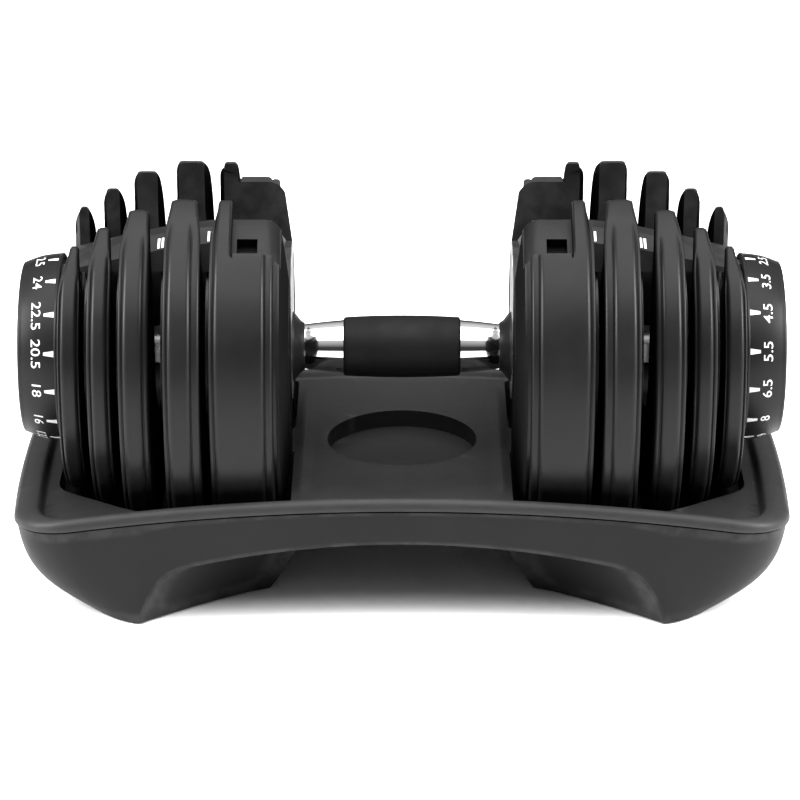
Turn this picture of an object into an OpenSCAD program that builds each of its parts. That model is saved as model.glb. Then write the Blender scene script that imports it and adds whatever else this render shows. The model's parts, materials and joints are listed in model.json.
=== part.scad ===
// Adjustable dumbbell in its storage tray, in millimetres.
// Origin: on the floor under the middle. +X runs along the bar, +Y to the back, +Z up.
// The left half is the right half turned 180 degrees about the vertical.

/* [Dumbbell] */
// Height of the bar's axis over the floor
axis_z = 127; // [126.5:0.5:132]
// Half width of the U slot in every weight plate
slot_r = 34.4; // [33:0.1:35]
// Clearance between a selector disc and the plates beside it
disc_gap = 0.4; // [0.3:0.05:0.6]
// Number of settings on each dial
settings = 15; // [15:1:15]

/* [Handle] */
// Radius of the bar under the grip
bar_r = 15.25; // [14:0.05:15.5]
// Radius of the bar where it meets the collar
bar_end_r = 12.85; // [12:0.05:13.5]
// Half length of the rubber grip
grip_half = 33.3; // [30:0.1:38]
// Radius of the grip at the middle
grip_r = 17.75; // [17:0.05:19]
// Radius of the grip at its ends
grip_end_r = 16.75; // [16:0.05:16.9]
// Radius of the steel axle
axle_r = 6; // [5:0.5:7]

/* [Dial] */
// Radius of the dial at its inner edge
dial_r = 53.6; // [53:0.1:55]
// Radius of the dial at its outer edge
dial_end_r = 47; // [45:0.5:50]
// Distance from the middle to the dial's outer face
dial_out = 215.2; // [213:0.1:217]

/* [Tray] */
// Length of the tray
tray_len = 439; // [437:1:441]
// Depth of the tray
tray_w = 213; // [212:1:216]
// Radius of the long arch of the tray's rim
arch_r = 1360; // [1300:10:1420]
// Height of the seam between deck and shell at the middle
seam_z = 68.5; // [68:0.5:70]
// Wall thickness of the tray mouldings
wall = 3; // [2.6:0.1:3.4]

/* [Hidden] */
$fn = 96;

// Weight plates 1 (outermost) to 5 (innermost): inner face, outer face, radius, core thickness
plate_in = [178, 160.2, 138.8, 110.5, 70.6];
plate_out = [190, 173, 155.1, 130.4, 105.4];
plate_r = [80.9, 90.8, 100.3, 106, 105.5];
core_t = [5.5, 8.8, 13.4, 11.6, 25];
horn_in = [179.4, 161.8, 139.6, 112.8, 93.7];
horn_out = [184.6, 169.2, 151.2, 127.5, 101.6];
// Settings, counted from the lightest, at which each plate is picked up
carried = [
    [1, 3, 5, 7, 14],
    [2, 3, 6, 7, 9, 11, 13, 14],
    [4, 5, 6, 7, 10, 11, 12, 13, 14],
    [12, 13, 14],
    [8, 9, 10, 11, 12, 13, 14]
];
plates = len(plate_in);
step_angle = 360 / settings;
core_margin = 6;
rim_bevel = 3;
rim_drop = 2.2;

// Selector discs: a web, and a flange towards the plate that passes under the plate's tab
disc_r = 50;
flange_in_r = 46;
flange_out_r = 49.6;
flange_w = 2.2;
web_t = 2;
tab_half = 6;
tab_z = [-45.2, -39];
tab_out = 2.2;

// Innermost plate: conical inner face, and the step in its band beside the slot
boss_x = [62.5, 69];
boss_r = [62, 96];
step_r = 94;
step_turn = 41;
step_x = 92;
pocket_x = [80.5, 91];
pocket_turn = 38;
groove_half = 20;

// Handle frame
collar_x = [55.4, 62.1];
end_plate_x = [62.3, 66];
bridge_x = [66, 188];
bridge_low = 52;
bridge_side = [[66, 62], [74, 73.7], [108, 74], [134, 70.2], [157, 65.2], [173, 59.7], [188, 54.5]];
bridge_half = 20;
crest_half = 6;
crest_drop = 5;
wall_r = 30;
bearing_x = [[71, 77], [181, 188]];
sleeve_r = 12;
sleeve_flat = 10.5;
sleeve_x = [66.4, 205];
screw_head_r = 3.6;
running_fit = 0.05;

// Safety lock
lock_x = [67, 69.6];
lock_wheel_r = 24;
notches = 60;
notch_depth = 2.2;
lock_travel = 6;
lock_leg_half = 7;
window_r = lock_wheel_r + 1.5;
slider_top = 41;
pawl_half = 0.5;
spring_turns = 5;
spring_r = 1.7;
spring_wire = 0.4;
spring_z = [slider_top, 61];
tongue_tip = 68.5;
tongue_half = 18;

// Tray
deck_top = seam_z + 2.5;
lip_top = seam_z + 7;
corner_r = 36;
end_arc_r = 1200;
well_in = 61.6;
well_half = 96;
dish_r = 43;
dish_depth = 10;
foot_h = 1.5;
shell_floor = 1.2;
shell_inset = 1.5;
skirt_h = 5;
screw_place = [48, 84];
screw_tab_z = [53, 56];
front_y = tray_w / 2 - shell_inset;
saddle_t = 4;
saddle_gap = 0.3;
feet_places = [[92, -36], [92, 36], [184, -36], [184, 36]];
// the lock's leg stands just over the tongue, which the deck's arch lowers a little there
lock_leg_low = deck_top - pow(tongue_tip, 2) / (2 * arch_r) + 0.5 - axis_z;

function side_name(s) = s > 0 ? "right" : "left";
function mid(range) = (range[0] + range[1]) / 2;

SIDE_PARTS = ["collar", "end_plate", "bridge", "axle", "dial", "dial_cap", "axle_nut",
    "drive_sleeve", "lock_wheel", "lock_slider", "lock_spring"];
PLATE_PARTS = ["selector_disc", "plate_cover", "plate_core"];

// ---- placing ----

// Children drawn for the right half, put on side s
module on_side(s) {
    rotate([0, 0, s > 0 ? 0 : 180]) children();
}

// Children whose axis is Z, laid along the bar
module along_bar() {
    translate([0, 0, axis_z]) rotate([0, 90, 0]) children();
}

// A cylinder along the bar from x0 to x1
module bar_cylinder(r, x0, x1) {
    along_bar() translate([0, 0, x0]) cylinder(r = r, h = x1 - x0);
}

// A box given by its two corners, with Z counted from the bar's axis
module axis_box(low, high) {
    translate(low + [0, 0, axis_z]) cube(high - low);
}

// A solid of revolution about the bar from points [radius, x]
module bar_turned(points) {
    along_bar() rotate_extrude() polygon(points);
}

// ---- weight plates ----

module plate_disc(k) {
    r = plate_r[k];
    a = plate_in[k];
    b = plate_out[k];
    bar_turned([[0, a], [r - rim_drop, a], [r, a + rim_bevel],
        [r, b - rim_bevel], [r - rim_drop, b], [0, b]]);
}

// The U slot, open at the top, with half width w
module u_slot(w, x0, x1) {
    bar_cylinder(w, x0, x1);
    axis_box([x0, -w, 0], [x1, w, 140]);
}

// Wedges that thin the horns towards their tips
module horn_taper(k) {
    taper_h = 14;
    top = sqrt(pow(plate_r[k], 2) - pow(slot_r, 2));
    a = plate_in[k] - 1;
    b = plate_out[k] + 1;
    translate([0, 120, axis_z + top]) rotate([90, 0, 0]) linear_extrude(240) {
        polygon([[b, -taper_h], [horn_out[k], 1], [b, 1]]);
        polygon([[a, -taper_h], [a, 1], [horn_in[k], 1]]);
    }
    axis_box([a, -120, top], [b, 120, top + 20]);
}

module pick_up_tab(k) {
    axis_box([plate_out[k] - 1, -tab_half, tab_z[0]],
        [plate_out[k] + tab_out, tab_half, tab_z[1]]);
}

// Everything within the given turn from straight up, from x0 to x1
module top_sector(turn, x0, x1) {
    along_bar() translate([0, 0, x0]) linear_extrude(x1 - x0) top_wedge(turn);
}

// The innermost plate: a thick band stepped down beside the slot, a full flange, a conical face
module inner_plate_body() {
    k = plates - 1;
    a = plate_in[k];
    b = plate_out[k];
    difference() {
        union() {
            difference() {
                plate_disc(k);
                difference() {
                    top_sector(step_turn, a - 1, b + 1);
                    bar_cylinder(step_r, a - 2, step_x);
                    bar_cylinder(step_r, step_x - 1, b + 2);
                    bar_cylinder(plate_r[k], horn_in[k], horn_out[k]);
                }
            }
            bar_turned([[0, boss_x[0]], [boss_r[0], boss_x[0]], [boss_r[1], boss_x[1]],
                [boss_r[1], a + 1], [0, a + 1]]);
        }
        // the cone keeps inside the stepped part of the band
        difference() {
            top_sector(step_turn, boss_x[0], a + 0.5);
            bar_cylinder(step_r, boss_x[0] - 1, a + 1);
        }
        for (s = [-1, 1]) translate([0, 0, axis_z]) rotate([s * pocket_turn, 0, 0])
            translate([pocket_x[0], -4, step_r - 8]) cube([pocket_x[1] - pocket_x[0], 8, 20]);
        u_slot(slot_r, boss_x[0] - 1, b + 1);
        axis_box([boss_x[0] - 1, -groove_half, -98], [a, groove_half, 0]);
    }
}

// The part of a plate's plan within the given turn from straight up, which is -X here
module top_wedge(turn) {
    reach = 160;
    polygon([[0, 0], [-reach * cos(turn), reach * sin(turn)],
        [-reach * cos(turn), -reach * sin(turn)]]);
}

module core_outline(k) {
    half = slot_r + core_margin;
    difference() {
        circle(r = plate_r[k] - core_margin);
        if (k == plates - 1) difference() {
            top_wedge(step_turn + 4);
            circle(r = step_r - core_margin);
        }
        circle(r = half);
        translate([-200, -half]) square([200, 2 * half]);
    }
}

// Inner end of the core's pocket: it opens inwards, or outwards on the innermost plate
function core_start(k) = k == plates - 1 ? plate_out[k] - 0.5 - core_t[k] : plate_in[k] + 0.5;

module core_block(k, x0, x1) {
    along_bar() translate([0, 0, x0]) linear_extrude(x1 - x0) core_outline(k);
}

module plate_cover(k) color([0.09, 0.09, 0.1]) {
    outer = k == plates - 1;
    x0 = core_start(k);
    difference() {
        union() {
            if (outer) {
                inner_plate_body();
            } else {
                difference() {
                    plate_disc(k);
                    horn_taper(k);
                    u_slot(slot_r, plate_in[k] - 1, plate_out[k] + 1);
                }
            }
            pick_up_tab(k);
        }
        core_block(k, outer ? x0 : x0 - 2, outer ? plate_out[k] + tab_out + 2 : x0 + core_t[k]);
    }
}

module plate_core(k) color([0.35, 0.36, 0.38]) {
    x0 = core_start(k);
    difference() {
        core_block(k, x0, x0 + core_t[k]);
        if (k < plates - 1) horn_taper(k);
    }
}

// ---- selector stack ----

module sleeve_profile() {
    intersection() {
        circle(r = sleeve_r);
        square(2 * sleeve_flat, center = true);
    }
}

function is_carried(k, i) = len(search(i, carried[k])) > 0;
// Number of settings in a row, from i on, at which plate k is picked up
function run_length(k, i) = is_carried(k, i + 1) ? 1 + run_length(k, i + 1) : 1;

module selector_disc(k) color([0.16, 0.16, 0.17]) {
    face = plate_out[k] + disc_gap;
    web = face + flange_w;
    difference() {
        union() {
            bar_cylinder(disc_r, web, web + web_t);
            bar_cylinder(sleeve_r + 5, web - 1.5, web + web_t);
            for (i = carried[k]) if (!is_carried(k, i - 1)) {
                along_bar() translate([0, 0, face]) rotate([0, 0, (i - 0.5) * step_angle])
                    rotate_extrude(angle = step_angle * run_length(k, i))
                        translate([flange_in_r, 0]) square([flange_out_r - flange_in_r, flange_w + 0.5]);
            }
        }
        along_bar() translate([0, 0, face - 1]) linear_extrude(10) sleeve_profile();
    }
}

// A flatted tube: its round sides run in the bearing walls, its flats key the discs
module drive_sleeve() color([0.5, 0.5, 0.52]) {
    difference() {
        along_bar() translate([0, 0, sleeve_x[0]]) linear_extrude(sleeve_x[1] - sleeve_x[0])
            sleeve_profile();
        bar_cylinder(axle_r + running_fit, sleeve_x[0] - 1, sleeve_x[1] + 1);
    }
}

module lock_wheel() color([0.5, 0.5, 0.52]) {
    difference() {
        bar_cylinder(lock_wheel_r, lock_x[0], lock_x[1]);
        for (i = [0:notches - 1]) {
            translate([0, 0, axis_z]) rotate([i * 360 / notches, 0, 0])
                translate([lock_x[0] - 1, -0.8, lock_wheel_r - notch_depth])
                    cube([5, 1.6, notch_depth + 1]);
        }
        along_bar() translate([0, 0, lock_x[0] - 1]) linear_extrude(5) sleeve_profile();
    }
}

dial_in = 192;
dial_wall = 3.2;
dial_hub_r = 19;

module dial() color([0.07, 0.07, 0.08]) {
    difference() {
        bar_turned([[0, dial_in], [dial_r - 0.8, dial_in], [dial_r, dial_in + 1],
            [dial_r - 0.6, dial_in + 9], [dial_r - 2.6, dial_in + 16],
            [dial_end_r + 1.4, dial_out - 1.6], [dial_end_r - 2, dial_out], [0, dial_out]]);
        difference() {
            bar_turned([[0, dial_in - 1], [disc_r + 0.6, dial_in - 1], [disc_r + 0.6, dial_in + 4],
                [dial_end_r - dial_wall, dial_out - dial_wall], [0, dial_out - dial_wall]]);
            bar_cylinder(dial_hub_r, sleeve_x[1] - 8, dial_out);
        }
        along_bar() translate([0, 0, sleeve_x[1] - 9]) linear_extrude(9) sleeve_profile();
        bar_cylinder(14, sleeve_x[1], dial_out + 1);
    }
}

module dial_cap() color([0.1, 0.1, 0.11]) {
    bar_cylinder(14, dial_out - 2.4, dial_out - 0.4);
}

module axle_nut() color([0.6, 0.6, 0.62]) {
    difference() {
        along_bar() translate([0, 0, sleeve_x[1] + 0.3]) cylinder(h = 5, r = 10.5, $fn = 6);
        bar_cylinder(axle_r, sleeve_x[1], sleeve_x[1] + 10);
    }
}

// ---- handle core ----

module axle() color([0.6, 0.6, 0.62]) {
    bar_cylinder(axle_r, 34, sleeve_x[1] + 6.5);
}

module handle_tube() color([0.8, 0.8, 0.82]) {
    taper_x = grip_half + 0.7;
    difference() {
        bar_turned([[0, -62], [bar_end_r, -62], [bar_end_r, -collar_x[0]], [bar_r, -taper_x],
            [bar_r, taper_x], [bar_end_r, collar_x[0]], [bar_end_r, 62], [0, 62]]);
        for (s = [-1, 1]) on_side(s) bar_cylinder(axle_r, 33, 63);
    }
}

module grip_sleeve() color([0.1, 0.1, 0.1]) {
    steps = 8;
    bar_turned(concat(
        [[bar_r, -grip_half]],
        [for (i = [-steps:steps]) let (t = i / steps)
            [grip_end_r + (grip_r - grip_end_r) * (1 - t * t), t * grip_half]],
        [[bar_r, grip_half]]
    ));
}

module collar() color([0.08, 0.08, 0.09]) {
    difference() {
        bar_turned([[0, collar_x[0]], [bar_end_r + 0.9, collar_x[0]],
            [20, collar_x[1] - 0.6], [20, collar_x[1] + 0.2], [0, collar_x[1] + 0.2]]);
        bar_cylinder(bar_end_r, 50, 64);
    }
}

// Inner wall of the end frame, inside the plates' U slot
module end_plate() color([0.12, 0.12, 0.13]) {
    roof = [[wall_r, 0], [wall_r, 48], [16, 58], [crest_half, 61.5]];
    difference() {
        union() {
            bar_cylinder(wall_r, end_plate_x[0], end_plate_x[1]);
            translate([end_plate_x[0], 0, axis_z]) rotate([90, 0, 90])
                linear_extrude(end_plate_x[1] - end_plate_x[0])
                    polygon(concat(roof, [for (i = [len(roof) - 1:-1:0]) [-roof[i][0], roof[i][1]]]));
        }
        bar_cylinder(axle_r, 60, 70);
        at_frame_screws() {
            cylinder(r = 2, h = 30);
            translate([0, 0, -1]) cylinder(r = screw_head_r, h = 3.2);
        }
    }
}

// Both screws of the end frame, starting at the end plate's inner face
module at_frame_screws() {
    for (y = [-12, 12]) translate([end_plate_x[0], y, axis_z + 55.2]) rotate([0, 90, 0]) children();
}

// Side view of the bar over the discs, its top lowered by drop
module bridge_slab(half, drop) {
    x0 = bridge_x[0];
    x1 = bridge_x[1];
    top = [for (p = bridge_side) [p[0], max(p[1] - drop, bridge_low + 1)]];
    translate([0, half, axis_z]) rotate([90, 0, 0]) linear_extrude(2 * half)
        polygon(concat([[x1, bridge_low], [x0, bridge_low]], top));
}

// Moulded frame: a roofed bar over the discs and two bearing walls
module bridge() color([0.12, 0.12, 0.13]) {
    x0 = bridge_x[0];
    difference() {
        union() {
            hull() {
                bridge_slab(crest_half, 0);
                bridge_slab(bridge_half, crest_drop);
            }
            for (b = bearing_x) {
                bar_cylinder(wall_r, b[0], b[1]);
                axis_box([b[0], -bridge_half, 0], [b[1], bridge_half, bridge_low + 1]);
            }
        }
        for (b = bearing_x) bar_cylinder(sleeve_r + running_fit, b[0] - 1, b[1] + 1);
        at_frame_screws() cylinder(r = 2, h = 19);
        // space for the lock slider and the spring above it
        axis_box([x0 - 1, -wall_r - 1, -60], [bearing_x[0][0] - 0.4, wall_r + 1, bridge_low]);
        axis_box([x0 - 1, -5, bridge_low - 1], [bearing_x[0][0] - 0.4, 5, spring_z[1]]);
        // ribbed underside of the bar
        for (x = [84, 114, 134, 158]) axis_box([x, -16, bridge_low - 1], [x + 12, 16, bridge_low + 2.5]);
    }
}

module handle_screws() color([0.7, 0.7, 0.72]) {
    for (s = [-1, 1]) on_side(s) at_frame_screws() {
        cylinder(r = screw_head_r, h = 2.2);
        cylinder(r = 2, h = 18);
    }
}

// A bent leaf on the outer bearing wall, clear of the discs and the sleeve
module detent_springs() color([0.7, 0.7, 0.72]) {
    x = bearing_x[1][0];
    for (s = [-1, 1]) on_side(s) difference() {
        union() {
            axis_box([x - 2, -9, 20], [x, 9, 48]);
            axis_box([x - 3, -3, 22], [x - 2, 3, 30]);
        }
        translate([x - 3, 0, axis_z + 40]) rotate([0, 90, 0]) cylinder(r = 2, h = 4);
    }
}

// ---- safety lock ----

module lock_slider() color([0.75, 0.75, 0.76]) {
    x0 = lock_x[0];
    x1 = lock_x[1];
    difference() {
        union() {
            bar_cylinder(window_r + 3, x0, x1);
            axis_box([x0, -window_r - 3, 0], [x1, window_r + 3, slider_top]);
            axis_box([x0, -lock_leg_half, lock_leg_low], [x1, lock_leg_half, -26]);
        }
        bar_cylinder(window_r, x0 - 1, x1 + 1);
        axis_box([x0 - 1, -window_r, 0], [x1 + 1, window_r, lock_travel + window_r]);
    }
    // the pawl over the wheel
    axis_box([x0, -pawl_half, lock_wheel_r + lock_travel - notch_depth + 0.3],
        [x1, pawl_half, lock_travel + window_r + 1]);
}

// A coil swept as a tube with eight sides
module lock_spring() color([0.75, 0.75, 0.76]) {
    sides = 8;
    per_turn = 12;
    rings = spring_turns * per_turn;
    rise = (spring_z[1] - spring_z[0] - 2 * spring_wire) / rings;
    points = [for (i = [0:rings], j = [0:sides - 1])
        let (a = 360 * i / per_turn, b = 360 * j / sides, r = spring_r - spring_wire * cos(b))
        [r * cos(a), r * sin(a), spring_z[0] + spring_wire + rise * i + spring_wire * sin(b)]];
    walls = [for (i = [0:rings - 1], j = [0:sides - 1], half = [0, 1])
        let (n = (j + 1) % sides, low = i * sides, high = low + sides)
        half == 0 ? [low + j, high + j, high + n] : [low + j, high + n, low + n]];
    ends = [[for (j = [0:sides - 1]) j], [for (j = [sides - 1:-1:0]) rings * sides + j]];
    translate([mid(lock_x), 0, axis_z]) polyhedron(points, concat(walls, ends));
}

// ---- tray ----

// Plan outline of the tray, drawn in by the given inset
module tray_outline(inset) {
    x = tray_len / 2 - inset;
    y = tray_w / 2 - inset;
    r = corner_r - inset;
    bulge = end_arc_r - inset;
    intersection() {
        union() {
            square([2 * (x - r), 2 * y], center = true);
            square([2 * x, 2 * (y - r)], center = true);
            for (i = [-1, 1], j = [-1, 1]) translate([i * (x - r), j * (y - r)]) circle(r = r);
        }
        for (i = [-1, 1]) intersection_for (j = [-1, 1])
            translate([j * (x - bulge), 0]) circle(r = bulge, $fn = 360);
    }
}

// Everything under the long arch that passes height z at the middle
module under_arch(z) {
    r = arch_r + z - seam_z;
    translate([0, tray_w, z - r]) rotate([90, 0, 0]) cylinder(r = r, h = 2 * tray_w, $fn = 720);
}

// Plan of one well, right side, grown outwards by grow
module well_plan(grow) {
    h = well_half + grow;
    difference() {
        polygon([[well_in - grow, -h], [136, -h], [146 + grow, -92 - grow], [158 + grow, -82 - grow],
            [190 + grow, -50 - grow], [195 + grow, -38], [195 + grow, 38], [190 + grow, 50 + grow],
            [158 + grow, 82 + grow], [146 + grow, 92 + grow], [136, h], [well_in - grow, h]]);
        translate([well_in - grow - 1, -tongue_half])
            square([tongue_tip - well_in + grow + 1, 2 * tongue_half]);
    }
}

// Every place where a screw holds the deck to the shell
module at_screws() {
    for (i = [-1, 1], j = [-1, 1]) translate([i * screw_place[0], j * screw_place[1], 0]) children();
}

module screw_bosses() {
    difference() {
        intersection() {
            at_screws() translate([0, 0, screw_tab_z[1]]) cylinder(r = 5, h = 20);
            under_arch(seam_z + 1);
        }
        at_screws() translate([0, 0, screw_tab_z[1] - 1]) cylinder(r = 2, h = 10);
    }
}

module tray_top() color([0.13, 0.13, 0.14]) {
    difference() {
        intersection() {
            translate([0, 0, 20]) linear_extrude(80) tray_outline(0);
            under_arch(lip_top);
        }
        // the dished deck inside the lip
        difference() {
            translate([0, 0, 20]) linear_extrude(80) tray_outline(9);
            under_arch(deck_top);
        }
        // the underside, kept clear of the rim
        difference() {
            under_arch(seam_z);
            translate([0, 0, deck_top - dish_depth - wall]) cylinder(r = dish_r + wall, h = 40);
        }
        translate([0, 0, deck_top - dish_depth]) cylinder(r = dish_r, h = 40);
        for (s = [-1, 1]) on_side(s) translate([0, 0, 20]) linear_extrude(80) well_plan(0);
    }
    screw_bosses();
    // skirt round each well
    for (s = [-1, 1]) on_side(s) intersection() {
        difference() {
            translate([0, 0, 20]) linear_extrude(80) difference() {
                well_plan(2);
                well_plan(0);
            }
            under_arch(seam_z - skirt_h);
        }
        under_arch(deck_top);
    }
}

// Front view of the apron: everything the bottom edge cuts away, right half
function arch_edge(x) = 49 - x * x / 920;
apron_cut = concat(
    [[0, -1]],
    [for (x = [0:15:120]) [x, arch_edge(x)]],
    [[130, 29], [136, 24], [143, 10], [146, 0], [147, 0], [170, 5], [183, 12], [192, 20],
        [199, 30], [208, 45], [214, 54], [230, 58], [230, -1]]
);

module apron() {
    difference() {
        intersection() {
            linear_extrude(80) difference() {
                tray_outline(shell_inset);
                tray_outline(shell_inset + wall);
            }
            under_arch(seam_z);
        }
        for (s = [-1, 1]) on_side(s)
            translate([0, tray_w, 0]) rotate([90, 0, 0]) linear_extrude(2 * tray_w)
                polygon(apron_cut);
    }
}

// Outer or inner surface of one pod, from its foot up to its mouth
module pod_form(inset, low) {
    foot = [[75, -56], [143, -102], [149, -102], [199, -57], [199, 57], [149, 102],
        [143, 102], [75, 56]];
    shoulder = [[59, -58], [112, -97], [176, -97], [208, -58], [208, 58], [176, 97],
        [112, 97], [59, 58]];
    mouth = [[57.6, -99], [112, -103], [180, -103], [213, -62], [213, 62], [180, 103],
        [112, 103], [57.6, 99]];
    middle = [137, 0];
    function shrink(p) = p - inset * [sign(p[0] - middle[0]), sign(p[1] - middle[1])];
    hull() {
        translate([0, 0, low]) linear_extrude(1) polygon([for (p = foot) shrink(p)]);
        translate([0, 0, 26]) linear_extrude(1) polygon([for (p = shoulder) shrink(p)]);
        translate([0, 0, 59]) linear_extrude(8) polygon([for (p = mouth) shrink(p)]);
    }
}

module pod() {
    difference() {
        intersection() {
            pod_form(0, shell_floor);
            under_arch(seam_z - skirt_h - 1);
        }
        pod_form(wall, shell_floor + wall);
    }
}

// Ribs on the pod's floor, each shaped to the plate that it carries
module saddles() {
    for (k = [0:plates - 1]) {
        x = (plate_in[k] + plate_out[k]) / 2 - saddle_t / 2;
        r = plate_r[k] + saddle_gap;
        intersection() {
            difference() {
                translate([x, -50, shell_floor + 1]) cube([saddle_t, 100, 60]);
                bar_cylinder(r, x - 1, x + saddle_t + 1);
            }
            pod_form(1, shell_floor);
        }
    }
}

// Ledges inside the apron that the screws pass through
module screw_tabs() {
    h = screw_tab_z[1] - screw_tab_z[0];
    difference() {
        for (i = [-1, 1], j = [-1, 1])
            translate([i * screw_place[0] - 8, j > 0 ? screw_place[1] - 8 : -front_y + 1, screw_tab_z[0]])
                cube([16, front_y - screw_place[1] + 7, h]);
        at_screws() cylinder(r = 2, h = 80);
    }
}

module tray_shell() color([0.11, 0.11, 0.12]) {
    apron();
    screw_tabs();
    for (s = [-1, 1]) on_side(s) {
        pod();
        saddles();
    }
}

module rubber_feet() color([0.05, 0.05, 0.05]) {
    for (s = [-1, 1], p = feet_places) on_side(s) translate([p[0], p[1], 0])
        cylinder(r = 9, h = foot_h - 0.3);
}

module tray_screws() color([0.7, 0.7, 0.72]) {
    at_screws() translate([0, 0, screw_tab_z[0] - 2]) {
        cylinder(r = 4, h = 2);
        cylinder(r = 2, h = 13);
    }
}

// ---- drawing ----

tray_top();
tray_shell();
rubber_feet();
tray_screws();
handle_tube();
grip_sleeve();
handle_screws();
detent_springs();
for (s = [-1, 1]) on_side(s) {
    collar();
    end_plate();
    bridge();
    axle();
    dial();
    dial_cap();
    axle_nut();
    drive_sleeve();
    lock_wheel();
    lock_slider();
    lock_spring();
    for (k = [1:plates]) {
        selector_disc(k - 1);
        plate_cover(k - 1);
        plate_core(k - 1);
    }
}
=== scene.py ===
"""Looks of the adjustable dumbbell and its tray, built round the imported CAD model. Metres, +Z up."""
import json
import math

import bmesh
import bpy
from mathutils import Matrix, Vector


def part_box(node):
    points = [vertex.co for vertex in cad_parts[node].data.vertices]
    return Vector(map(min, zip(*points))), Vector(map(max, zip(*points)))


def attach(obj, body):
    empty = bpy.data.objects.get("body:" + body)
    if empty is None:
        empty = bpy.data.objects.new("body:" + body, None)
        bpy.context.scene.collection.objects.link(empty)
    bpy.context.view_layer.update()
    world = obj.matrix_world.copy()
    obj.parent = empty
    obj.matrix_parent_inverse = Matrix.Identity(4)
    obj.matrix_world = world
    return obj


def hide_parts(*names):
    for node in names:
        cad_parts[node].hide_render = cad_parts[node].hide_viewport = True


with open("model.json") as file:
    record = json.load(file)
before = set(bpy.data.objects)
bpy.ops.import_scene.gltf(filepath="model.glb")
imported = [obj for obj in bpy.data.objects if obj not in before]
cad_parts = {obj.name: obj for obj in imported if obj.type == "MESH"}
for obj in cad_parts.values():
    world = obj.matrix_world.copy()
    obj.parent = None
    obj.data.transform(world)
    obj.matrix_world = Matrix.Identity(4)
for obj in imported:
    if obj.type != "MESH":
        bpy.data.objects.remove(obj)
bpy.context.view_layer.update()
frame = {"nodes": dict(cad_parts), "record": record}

MM = 0.001
SIDES = {"right": 1, "left": -1}
PLATES = 5
SETTINGS = ["2.5", "3.5", "4.5", "5.5", "6.5", "8", "9", "10", "11.5", "13.5", "16", "18",
            "20.5", "22.5", "24"]
STEP = math.tau / len(SETTINGS)


# ---- places taken from the frame ----

def box(node):
    low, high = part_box(node)
    return Vector(low), Vector(high)


def middle(node):
    low, high = box(node)
    return (low + high) / 2


AXIS_Z = middle("handle_tube").z
TRAY_X, TRAY_Y, LIP_TOP = box("tray_top")[1]
ARCH_R = 1360 * MM              # the whole tray is bent over this radius
LIP_H = 7 * MM                  # height of the lip over the seam between deck and shell
SEAM = LIP_TOP - LIP_H
DECK = SEAM + 2.5 * MM
SLOT = 34.4 * MM                # half the width of the slot in every plate
TAB = 2.2 * MM                  # how far each plate's pick-up tab stands out of its face
BODY_OF = {node: body for body, nodes in frame["record"]["behaviour"]["bodies"].items()
           for node in nodes}
SLOT_OF = {part["node"]: part["material_slot"] for part in frame["record"]["subparts"]}


# ---- mesh helpers ----

def smooth_step(t):
    t = max(0.0, min(1.0, t))
    return t * t * (3 - 2 * t)


def between(knots, x):
    """The value at x on a line through (x, value) knots; past its end, the last knot's value."""
    for (xa, za), (xb, zb) in zip(knots, knots[1:]):
        if xa <= x <= xb:
            return za + (zb - za) * (x - xa) / (xb - xa)
    return knots[-1][1]


def new_object(name, mesh):
    obj = bpy.data.objects.new(name, mesh)
    bpy.context.scene.collection.objects.link(obj)
    return obj


def shaded(mesh, sharp):
    """mesh itself, smooth up to the given angle in degrees."""
    mesh.shade_smooth()
    mesh.set_sharp_from_angle(angle=math.radians(sharp))
    return mesh


def mesh_from(bm, name, sharp=35):
    """A mesh of bm, which is freed, with double points merged and faces turned outwards."""
    bmesh.ops.remove_doubles(bm, verts=bm.verts, dist=1e-6)
    bmesh.ops.recalc_face_normals(bm, faces=bm.faces)
    mesh = bpy.data.meshes.new(name)
    bm.to_mesh(mesh)
    bm.free()
    return shaded(mesh, sharp)


def applied(obj, name, sharp=35):
    """A new mesh with obj's modifiers applied; obj itself is removed."""
    graph = bpy.context.evaluated_depsgraph_get()
    mesh = bpy.data.meshes.new_from_object(obj.evaluated_get(graph))
    bpy.data.objects.remove(obj, do_unlink=True)
    mesh.name = name
    return shaded(mesh, sharp)


def turned(profile, segments=144, start=0.0, sweep=math.tau):
    """A bmesh turned about the bar's axis from a closed loop of (x, radius)."""
    bm = bmesh.new()
    full = abs(sweep - math.tau) < 1e-6
    count = segments if full else segments + 1
    rings = []
    for i in range(count):
        a = start + sweep * i / segments
        rings.append([bm.verts.new((x, r * math.sin(a), AXIS_Z + r * math.cos(a)))
                      for x, r in profile])
    size = len(profile)
    for i in range(segments):
        near, far = rings[i], rings[(i + 1) % count]
        for j in range(size):
            k = (j + 1) % size
            bm.faces.new((near[j], near[k], far[k], far[j]))
    if not full:
        bm.faces.new(rings[0])
        bm.faces.new(list(reversed(rings[-1])))
    return bm


def block(low, high):
    """A bmesh box between two corners."""
    bm = bmesh.new()
    size = Vector(high) - Vector(low)
    matrix = Matrix.Translation((Vector(high) + Vector(low)) / 2) @ Matrix.Diagonal((*size, 1))
    bmesh.ops.create_cube(bm, size=1, matrix=matrix)
    return bm


def cut(mesh, cutters, name):
    """mesh minus each cutter's bmesh."""
    base = new_object(name, mesh)
    tools = []
    for bm in cutters:
        tool = new_object("cutter", mesh_from(bm, "cutter"))
        tools.append(tool)
        mod = base.modifiers.new("cut", "BOOLEAN")
        mod.operation = "DIFFERENCE"
        mod.solver = "EXACT"
        mod.object = tool
    result = applied(base, name)
    for tool in tools:
        bpy.data.objects.remove(tool, do_unlink=True)
    return result


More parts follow.
